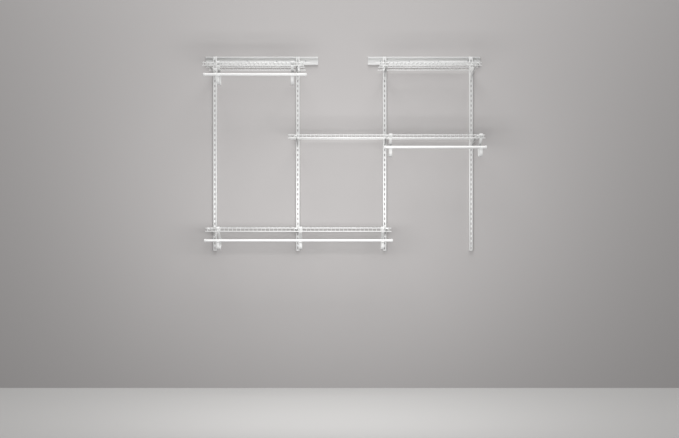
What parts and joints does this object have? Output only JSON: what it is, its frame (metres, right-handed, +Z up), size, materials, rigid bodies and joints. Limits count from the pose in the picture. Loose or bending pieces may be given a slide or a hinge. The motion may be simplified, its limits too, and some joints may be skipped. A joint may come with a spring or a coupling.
{
  "type": "wall mounted closet system",
  "caption": "Wire shelves and hang rods on brackets that hook into slotted wall uprights, which hang from screwed rails.",
  "frame": {"origin": "centre of the left hang rail's back face, on the wall", "axes": "+X along the wall to the right as seen from the room, +Y into the wall, +Z up"},
  "size_m": [1.788, 0.3553, 1.262],
  "materials": {
    "white_powder_coat": "satin white powder coat on steel",
    "moulded_white": "satin moulded plastic",
    "zinc_plated": "bright zinc plate"
  },
  "bodies": {
    "frame": {"hang_rail_left": "white_powder_coat", "rail_screw_left_1": "zinc_plated", "rail_screw_left_2": "zinc_plated", "rail_screw_left_3": "zinc_plated", "rail_screw_left_4": "zinc_plated", "hang_rail_right": "white_powder_coat", "rail_screw_right_1": "zinc_plated", "rail_screw_right_2": "zinc_plated", "rail_screw_right_3": "zinc_plated", "rail_screw_right_4": "zinc_plated", "upright_1": "white_powder_coat", "upright_screw_1": "zinc_plated", "upright_2": "white_powder_coat", "upright_screw_2": "zinc_plated", "upright_3": "white_powder_coat", "upright_screw_3": "zinc_plated", "upright_4": "white_powder_coat", "upright_screw_4": "zinc_plated", "bracket_top_left_1": "white_powder_coat", "bracket_top_left_2": "white_powder_coat", "bracket_top_right_3": "white_powder_coat", "bracket_top_right_4": "white_powder_coat", "bracket_middle_2": "white_powder_coat", "bracket_middle_3": "white_powder_coat", "bracket_middle_4": "white_powder_coat", "bracket_bottom_1": "white_powder_coat", "bracket_bottom_2": "white_powder_coat", "bracket_bottom_3": "white_powder_coat"},
    "shelf_top_left": {"wire_shelf_top_left": "white_powder_coat", "rod_hook_top_left_1": "moulded_white", "rod_hook_top_left_2": "moulded_white"},
    "shelf_top_right": {"wire_shelf_top_right": "white_powder_coat"},
    "shelf_middle": {"wire_shelf_middle": "white_powder_coat", "rod_hook_middle_1": "moulded_white", "rod_hook_middle_2": "moulded_white"},
    "shelf_bottom": {"wire_shelf_bottom": "white_powder_coat", "rod_hook_bottom_1": "moulded_white", "rod_hook_bottom_2": "moulded_white", "rod_hook_bottom_3": "moulded_white"},
    "rod_top_left": {"hang_rod_top_left": "white_powder_coat", "rod_cap_top_left_left": "moulded_white", "rod_cap_top_left_right": "moulded_white"},
    "rod_middle": {"hang_rod_middle": "white_powder_coat", "rod_cap_middle_left": "moulded_white", "rod_cap_middle_right": "moulded_white"},
    "rod_bottom": {"hang_rod_bottom": "white_powder_coat", "rod_cap_bottom_left": "moulded_white", "rod_cap_bottom_right": "moulded_white"}
  },
  "joints": [
    {"name": "shelf_top_left_lift", "type": "slide", "parent": "frame", "child": "shelf_top_left", "axis": [0, 0, 1], "range_m": [0, 0.035]},
    {"name": "shelf_top_right_lift", "type": "slide", "parent": "frame", "child": "shelf_top_right", "axis": [0, 0, 1], "range_m": [0, 0.035]},
    {"name": "shelf_middle_lift", "type": "slide", "parent": "frame", "child": "shelf_middle", "axis": [0, 0, 1], "range_m": [0, 0.035]},
    {"name": "shelf_bottom_lift", "type": "slide", "parent": "frame", "child": "shelf_bottom", "axis": [0, 0, 1], "range_m": [0, 0.035]},
    {"name": "rod_top_left_slide", "type": "slide", "parent": "shelf_top_left", "child": "rod_top_left", "axis": [1, 0, 0], "range_m": [-0.069, 0.071]},
    {"name": "rod_middle_slide", "type": "slide", "parent": "shelf_middle", "child": "rod_middle", "axis": [1, 0, 0], "range_m": [-0.012, 0.022]},
    {"name": "rod_bottom_slide", "type": "slide", "parent": "shelf_bottom", "child": "rod_bottom", "axis": [1, 0, 0], "range_m": [-0.041, 0.064]}
  ]
}
